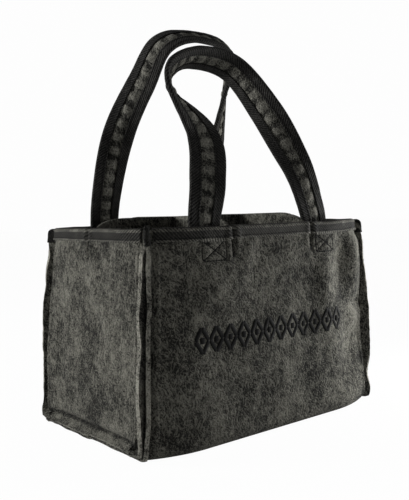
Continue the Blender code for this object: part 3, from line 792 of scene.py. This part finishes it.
strap = {
    "spread": 0.1126, "width": 0.0267, "felt": 0.002, "tape": 0.0006, "cover": 0.0083,
    "tab": 0.03, "tabSteps": 18, "tapeLeft": (0.002, 0.008), "wallMet": (0.0095, 0.014), "steps": 24,
    "puff": 0.0011, "pucker": 0.0015, "puckerLength": 0.0118, "feltWave": (0.0005, 0.004),
    "tapeWave": (0.00012, 0.005), "rimCorner": (0.001, 0.00194),
    "bendY": 0.07, "bendZ": (0.15, 0.162), "stitchOff": 0.0013,
    # The outer edge of a tape's fold over the felt: past it, and above the tape
    "hem": ((0, 0.0002), (0.0009, 0.00035), (0.0016, 0)),
}
# shares: the strap's route as shares of the half spread and the arch's height; turns: where its legs
# turn a quarter, as shares of that height; twist: where along it, over what length and how far
Handle = namedtuple("Handle", "name facing arch radius lean shares turns twist")
handles = (
    Handle("front_handle", -1, 0.1423, 0.12, radians(26.2), (
        (-1.07, 0.0), (-0.92, 0.24), (-0.76, 0.5), (-1.03, 0.77), (-0.88, 0.91), (-0.4, 1.0),
        (0.22, 0.95), (0.57, 0.68), (0.75, 0.38), (0.85, 0.15), (0.92, 0.0)),
        (0.44, 1.19, 0.0, 1.07), (0.048, 0.03, radians(-26))),
    Handle("rear_handle", 1, 0.1682, 0.263, radians(27.8), (
        (-1.02, 0.0), (-0.95, 0.25), (-0.83, 0.5), (-0.61, 0.74), (-0.43, 0.935), (0.08, 1.0),
        (0.86, 0.955), (1.00, 0.75), (1.07, 0.47), (1.02, 0.23), (0.96, 0.0)),
        (0.0, 1.19, 0.0, 1.33), (0.1, 0.03, radians(8))),
)
leg = strap["spread"] / 2
strapInner = strap["felt"] / 2 + bag["fit"]
strapOuter = strapInner + strap["tape"]


def frontWall(x, drop):     # distance of the plain front wall from the bag's middle plane
    row = stripRow(drop / -wallDown.y)
    return -(row.y + row.bow * bulge(x / row.half, bag["wallFlat"]))


pivotY = frontWall(leg, 0)
pivotZ = bag["height"] - bag["felt"] / 2
widest = max(abs(handle.shares[end][0]) for handle in handles for end in (0, -1))
rimReach = hypot(strap["rimCorner"][0] + bag["felt"] / 2, strap["rimCorner"][1])
footIn = pivotY - frontWall(leg * widest + strap["width"] / 2, 0)
swing = rimReach + bag["fit"] + max(0, footIn) + strapOuter


def smoothPath(points, steps):      # (place, heading) pairs along a smooth curve through points
    below = [Vector((p.x, -p.y)) for p in (points[1], points[-2])]
    ends = [below[0], *points, below[1]]
    path = []
    for a, b, c, d in zip(ends, ends[1:], ends[2:], ends[3:]):
        linear, square, cube = c - a, a * 2 - b * 5 + c * 4 - d, b * 3 - c * 3 + d - a
        for t in [i / steps for i in range(steps)]:
            place = (b * 2 + linear * t + square * t ** 2 + cube * t ** 3) / 2
            path.append((place, (linear + square * 2 * t + cube * 3 * t ** 2).normalized()))
    path.append((points[-1], Vector((0, -1))))
    return path


def strapFrames(handle):
    # Frames of the whole strap: up one sewn end, over the arch and down the other end
    facing, sideways = handle.facing, Vector((1, 0, 0))
    path = smoothPath([Vector((leg * a, handle.arch * b)) for a, b in handle.shares], strap["steps"])
    reached = runLengths([place for place, _ in path])
    leftStart, leftEnd, rightStart, rightEnd = [handle.arch * a for a in handle.turns]
    twistAt, twistSize, twist = handle.twist
    arch = []
    for (place, heading), run in zip(path, reached):
        up = max(0, place.y)
        lean = min(up / handle.radius, handle.lean)
        past = max(0, up - handle.radius * handle.lean)
        inward = handle.radius * (1 - cos(lean)) + past * sin(lean)
        rise = handle.radius * sin(lean) + past * cos(lean)
        rising = Vector((0, -facing * sin(lean), cos(lean)))
        outward = Vector((0, facing * cos(lean), sin(lean)))
        share = min(1, max(0, min((run - leftStart) / (leftEnd - leftStart),
                                  (reached[-1] - run - rightStart) / (rightEnd - rightStart))))
        turn = share ** 2 * (3 - 2 * share) * pi / 2 + twist * bell(run - twistAt, twistSize)
        along = sideways * heading.x + rising * heading.y
        across = (sideways * heading.y - rising * heading.x) * cos(turn) - outward * sin(turn)
        origin = Vector((place.x, facing * (pivotY - swing - inward), pivotZ + rise))
        arch.append((origin, across, across.cross(along).normalized()))
    ends = []
    for share, hand in ((handle.shares[0][0], -1), (handle.shares[-1][0], 1)):
        foot = leg * share
        edge = max(abs(foot), leg) + strap["width"] / 2
        frames = []
        for i in range(2, strap["tabSteps"] + 1):
            drop = strap["tab"] * i / strap["tabSteps"]
            low = frontWall(edge, drop) - bag["fit"] - strapOuter
            off = mix(pivotY - swing, low - rimTape["outer"], ramp(*strap["tapeLeft"], drop))
            off = mix(off, low - bag["felt"] / 2, ramp(*strap["wallMet"], drop))
            origin = Vector((mix(foot, hand * leg, drop / strap["tab"]), facing * off, bag["height"] - drop))
            frames.append((origin, Vector((-hand, 0, 0)), Vector((0, -1, 0))))
        ends.append(frames)
    return ends[0][::-1] + arch + ends[1]


def bandGrid(frames, section, relief):
    # section: (across, through) points of a closed outline; relief moves one of them outwards
    lengths = runLengths([origin for origin, _, _ in frames])
    edge = runLengths(section)

    def place(i, j):
        (origin, across, through), (a, b) = frames[j], section[i]
        return origin + across * a + through * (b + relief(a, b, lengths[j]))

    return mended(mappedGrid(len(section) - 1, len(frames) - 1, place, lambda i, j: (lengths[j], edge[i])),
                  near=0.00001)


def stripeRelief(a, b, run):        # the felt between the tapes puffs up between its stitches
    half = strap["width"] / 2 - strap["cover"]
    if abs(a) >= half:
        return 0
    pull = 0.5 + 0.5 * sin(run / strap["puckerLength"] * 2 * pi + 1)
    wave, size = strap["feltWave"]
    high = strap["puff"] + strap["pucker"] * (pull ** 0.7 - 0.5) + wave * ripple((run, a, b), size, 9)
    return high * (1 - (a / half) ** 2) * (1 if b > 0 else -1)


def tapeRelief(a, b, run):
    wave, size = strap["tapeWave"]
    return wave * ripple((run, a, b), size, 11) * (1 if b > 0 else -1)


def bendAtRim(piece, handle):
    start, end = [Vector((0, handle.facing * strap["bendY"], z)) for z in strap["bendZ"]]
    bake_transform(piece)


def addStrap(handle):
    frames = strapWays[handle.name]
    half, felt = strap["width"] / 2, strap["felt"] / 2
    stripe, edge = half - strap["cover"], half - strap["tape"] - bag["fit"]
    covered = stripe + 0.001
    top = [(edge, felt), (covered, felt)] + [(stripe * (1 - k / 6), felt) for k in range(13)]
    top += [(-covered, felt), (-edge, felt)]
    core = top + [(a, -b) for a, b in reversed(top)] + [top[0]]
    ends = [f"{handle.name}_{side}_end_" for side in ("left", "right")]
    made = [shownPiece(handle.name + "_stripe", bandGrid(frames, core, stripeRelief), stripeFelt,
                       handle.name + "_felt", *[end + "felt" for end in ends], body=None,
                       slot="strap_felt")]
    # A tape's section: its hem over the felt, its flat, the rounded edge and the same underneath
    outer = [(stripe, strapInner)] + [(stripe + past, strapOuter + high) for past, high in strap["hem"]]
    outer += [(mix(outer[-1][0], half - strapOuter, k / 4), strapOuter) for k in range(1, 5)]
    bend = strapOuter * 0.75
    angles = [pi / 2 - pi * k / 6 for k in range(7)]
    tape = outer + [(half - bend + bend * cos(angle), strapOuter * sin(angle)) for angle in angles]
    tape += [(a, -b) for a, b in reversed(outer)]
    tape += [(edge + 0.0001, -strapInner), (edge + 0.0001, strapInner), (stripe, strapInner)]
    # "across" runs towards the bag's middle on both legs, so inner and outer need no swap
    for side, sign in (("inner", 1), ("outer", -1)):
        section = [(a * sign, b) for a, b in tape]
        made.append(shownPiece(f"{handle.name}_{side}_binding", bandGrid(frames, section, tapeRelief),
                               strapTwill, f"{handle.name}_{side}_tape",
                               *[end + side + "_tape" for end in ends], body=None, slot="edge_tape"))
    for piece in made:
        bendAtRim(piece, handle)


strapWays = {handle.name: strapFrames(handle) for handle in handles}
for handle in handles:
    addStrap(handle)
print("straps made")


# Each kind of stitch
stitches = {
    "rim": {"length": 0.003, "pitch": 0.0037, "radius": 0.00032},
    "box": {"length": 0.0027, "pitch": 0.0024, "radius": 0.00055},
    "divider": {"length": 0.0027, "pitch": 0.0028, "radius": 0.00055},
    "strap": {"length": 0.0028, "pitch": 0.0034, "radius": 0.0003},
}
# Where the rows run: from the middle of the rim and above its hem, along a crossed box, beside the
# divider's middle and below the rim; and how far they stand off the felt or tape
sewing = {
    "rimHalf": {"front": 0.1, "back": 0.1, "left": 0.06, "right": 0.06}, "rimUp": 0.0022,
    "rimOff": 0.00005, "boxOff": 0.0005, "boxLines": ((0, 1), (1, 2), (2, 3), (3, 0), (0, 2), (1, 3)),
    "seamLines": (((-0.0013, 0.01), (-0.0013, 0.0215)), ((0.0013, 0.0215), (0.0013, 0.01)),
                  ((-0.0013, 0.022), (0.0013, 0.022))),
    "seamOff": 0.0004, "onTape": (-0.0011, 0, 0.0011), "tapeDrops": (0.0006, 0.0092), "strapOff": 0.0001,
}
ball = bmesh.new()
bmesh.ops.create_uvsphere(ball, u_segments=6, v_segments=4, radius=1)
oneStitch = finishedMesh("stitch shape", ball)


def addStitch(bm, middle, along, out, length, radius):
    start = len(bm.verts)
    bm.from_mesh(oneStitch)
    side = out.cross(along).normalized()
    turn = Matrix((side * radius, out * radius * 0.8, along * length / 2)).transposed().to_4x4()
    turn.translation = middle
    for vert in list(bm.verts)[start:]:
        vert.co = turn @ vert.co


def stitchRow(points, pitch, length, radius):
    # points: (place, outward) pairs along the row; stitches lie end to end on its surface
    bm = bmesh.new()
    lengths = runLengths([place for place, _ in points])
    count = max(1, round(lengths[-1] / pitch))
    i = 0
    for k in range(count):
        run = lengths[-1] * (k + 0.5) / count
        while i < len(points) - 2 and lengths[i + 1] < run:
            i += 1
        (a, outA), (b, outB) = points[i], points[i + 1]
        share = (run - lengths[i]) / max(1e-9, lengths[i + 1] - lengths[i])
        out = outA.lerp(outB, share).normalized()
        addStitch(bm, a.lerp(b, share), (b - a).normalized(), out, length, radius)
    return finishedMesh("sewn row", bm)


def stitchPiece(name, lines, kind, body="bag"):
    bm = bmesh.new()
    for line in lines:
        sewn = stitchRow(line, **stitches[kind])
        bm.from_mesh(sewn)
        bpy.data.meshes.remove(sewn)
    return shownPiece(name, bm, darkThread, body=body, slot="edge_tape")


def wallLine(wall, start, end, off, steps=8):       # start and end are (along, drop)
    line = []
    for k in range(steps + 1):
        point, normal = wallPlace(wall, *[mix(a, b, k / steps) for a, b in zip(start, end)])
        line.append((point + normal * off, normal))
    return line


for wall, half in sewing["rimHalf"].items():
    drop = rimTape["cover"] - sewing["rimUp"]
    line = wallLine(wall, (-half, drop), (half, drop), rimTape["outer"] + sewing["rimOff"], 120)
    stitchPiece(wall + "_rim_stitches", [line], "rim")

boxLines, dividerLines = [], []
for wall, tabs in tabsAt.items():
    for x in tabs:
        left, right, top, low = x - tabBox["half"], x + tabBox["half"], tabBox["top"], tabBox["low"]
        corners = [(left, top), (right, top), (right, low), (left, low)]
        for start, end in sewing["boxLines"]:
            boxLines.append(wallLine(wall, corners[start], corners[end], bag["felt"] / 2 + sewing["boxOff"]))
for wall, places in seamsAt.items():
    for a in places:
        for line in sewing["seamLines"]:
            ends = [(a + side, drop) for side, drop in line]
            dividerLines.append(wallLine(wall, *ends, bag["felt"] / 2 + sewing["seamOff"]))
        for side in sewing["onTape"]:
            ends = [(a + side, drop) for drop in sewing["tapeDrops"]]
            dividerLines.append(wallLine(wall, *ends, rimTape["outer"]))
stitchPiece("strap_end_stitches", boxLines, "box")
stitchPiece("divider_stitches", dividerLines, "divider")

for handle in handles:
    beside, off = strap["width"] / 2 - strap["cover"] + strap["stitchOff"], strapOuter + sewing["strapOff"]
    lines = [[(origin + across * beside * sign + through * face * off, through * face)
              for origin, across, through in strapWays[handle.name]]
             for sign in (1, -1) for face in (1, -1)]
    bendAtRim(stitchPiece(handle.name + "_stitches", lines, "strap", body=None), handle)
print("stitches sewn")


# Embroidered row of lozenges
motif = {
    "from": -0.0775, "to": 0.0715, "count": 12, "top": 0.0685, "low": 0.0865, "gap": 0.0012,
    "bar": 0.0018, "high": 0.0007, "dot": 0.0022, "sunk": 0.0002, "ends": 0.08, "endHigh": 0.3,
    "arch": 0.98, "backing": 0.0003,
}


def addBar(bm, uv, start, end, half):
    # A satin bar laid on the front from start to end, both (along, drop)
    run = dist(start, end)
    side = ((end[1] - start[1]) / run, -(end[0] - start[0]) / run)
    made = bmesh.ops.create_grid(bm, x_segments=4, y_segments=10, size=0.5)["verts"]
    for face in {f for v in made for f in v.link_faces}:
        for loop in face.loops:
            loop[uv].uv = ((loop.vert.co.y + 0.5) * run, loop.vert.co.x * 2 * half)
    for vert in made:
        u, v = vert.co.x * 2, vert.co.y + 0.5
        point, normal = wallPlace("front", *[mix(start[k], end[k], v) + side[k] * u * half for k in (0, 1)])
        full = mix(motif["endHigh"], 1, min(1, v / motif["ends"], (1 - v) / motif["ends"]))
        rise = motif["high"] * sqrt(max(0, 1 - u * u * motif["arch"])) * full
        vert.co = point + normal * (bag["felt"] / 2 - motif["sunk"] + rise)


def addMotifs():
    bm = bmesh.new()
    uv = bm.loops.layers.uv.new("cloth")
    step = (motif["to"] - motif["from"]) / motif["count"]
    half, middle = (step - motif["gap"]) / 2, (motif["top"] + motif["low"]) / 2
    for k in range(motif["count"]):
        x = motif["from"] + step * (k + 0.5)
        corners = [(x - half, middle), (x, motif["top"]), (x + half, middle), (x, motif["low"])]
        for start, end in zip(corners, corners[1:] + corners[:1]):
            addBar(bm, uv, start, end, motif["bar"])
        addBar(bm, uv, (x, middle - motif["dot"]), (x, middle + motif["dot"]), motif["dot"])
    bmesh.ops.recalc_face_normals(bm, faces=bm.faces)
    return bm


lozenges = shownPiece("front_embroidery", addMotifs(), satinThread, slot="edge_tape")
backing = lozenges.modifiers.new("thread depth", "SOLIDIFY")
backing.thickness, backing.offset = motif["backing"], -1
print("embroidery made")


# Floor, lamps, world and camera
studio = {
    "floor": 0.8, "floorDrop": 0.0003, "floorGlow": 0.975, "world": 0.165, "backdrop": 0.985,
    # Each lamp's place, target, size and power
    "left lamp": ((-0.85, 0.6, 0.42), (0, 0, 0.1), 0.35, 9.2),
    "right lamp": ((0.3, -0.15, 0.12), (0, 0, 0.1), 0.16, 1.12),
    "top lamp": ((0.0, 0.2, 1.6), (0, 0, 0.1), 0.8, 1.5),
    "focal": 708 / 500 * 36, "sensor": 36, "near": 0.01, "place": (-0.369, -0.454, 0.1677),
    "yaw": 38.74, "pitch": -3.38, "roll": -1.65,
}


def mixShaders(tree, factor, first, second, output):
    both = tree.nodes.new("ShaderNodeMixShader")
    for socket, source in zip(both.inputs, (factor, first.outputs[0], second.outputs[0])):
        tree.links.new(source, socket)
    tree.links.new(both.outputs[0], tree.nodes[output].inputs["Surface"])


def makeFloor():
    bm = bmesh.new()
    bmesh.ops.create_grid(bm, x_segments=8, y_segments=8, size=6)
    floor = sceneObject("floor", finishedMesh("floor", bm))
    floor.location = (0, 0, -studio["floorDrop"])
    look = Finish("pale floor", Roughness=0.9)
    look.put(look.shader.inputs["Base Color"], (studio["floor"],) * 3)
    floor.data.materials.append(look.material)
    # Seen directly or in a reflection, the floor is as pale as the backdrop
    rays = look.add("LightPath").socket.node.outputs
    direct, glossy = [Wire(look, rays[kind]) for kind in ("Is Camera Ray", "Is Glossy Ray")]
    seen = direct.most(glossy) * studio["floorGlow"]
    white = look.add("Emission", {}, {"Color": (1, 1, 1), "Strength": 1}).socket.node
    mixShaders(look.tree, seen.socket, look.shader, white, "Material Output")


def addLamp(name):
    place, target, size, power = studio[name]
    lamp = sceneObject(name, bpy.data.lights.new(name, "AREA"))
    lamp.data.shape, lamp.data.size, lamp.data.energy = "DISK", size, power
    lamp.location = place
    lamp.visible_camera = False
    lamp.rotation_euler = (Vector(target) - Vector(place)).to_track_quat("-Z", "Y").to_euler()


def makeWorld():
    world = bpy.data.worlds.new("pale studio")
    bpy.context.scene.world = world
    world.use_nodes = True
    nodes = world.node_tree.nodes
    sky, backdrop = nodes["Background"], nodes.new("ShaderNodeBackground")
    for shader, pale, strength in ((sky, 1, studio["world"]), (backdrop, studio["backdrop"], 1)):
        shader.inputs["Color"].default_value = (pale,) * 3 + (1,)
        shader.inputs["Strength"].default_value = strength
    rays = nodes.new("ShaderNodeLightPath")
    mixShaders(world.node_tree, rays.outputs["Is Camera Ray"], sky, backdrop, "World Output")


def makeCamera():
    yaw, pitch, roll = [radians(studio[turn]) for turn in ("yaw", "pitch", "roll")]
    ahead = Vector((sin(yaw) * cos(pitch), cos(yaw) * cos(pitch), sin(pitch)))
    right = Vector((cos(yaw), -sin(yaw), 0))
    up = right.cross(ahead)
    camera = sceneObject("camera", bpy.data.cameras.new("camera"))
    camera.data.lens, camera.data.sensor_width = studio["focal"], studio["sensor"]
    camera.data.clip_start = studio["near"]
    turned = (right * cos(roll) + up * sin(roll), up * cos(roll) - right * sin(roll), -ahead)
    camera.matrix_world = Matrix.Translation(studio["place"]) @ Matrix(turned).transposed().to_4x4()
    bpy.context.scene.camera = camera


makeFloor()
for name in ("left lamp", "right lamp", "top lamp"):
    addLamp(name)
makeWorld()
makeCamera()
bpy.context.scene.view_settings.view_transform = "Standard"
print("studio ready")

bpy.context.view_layer.update()
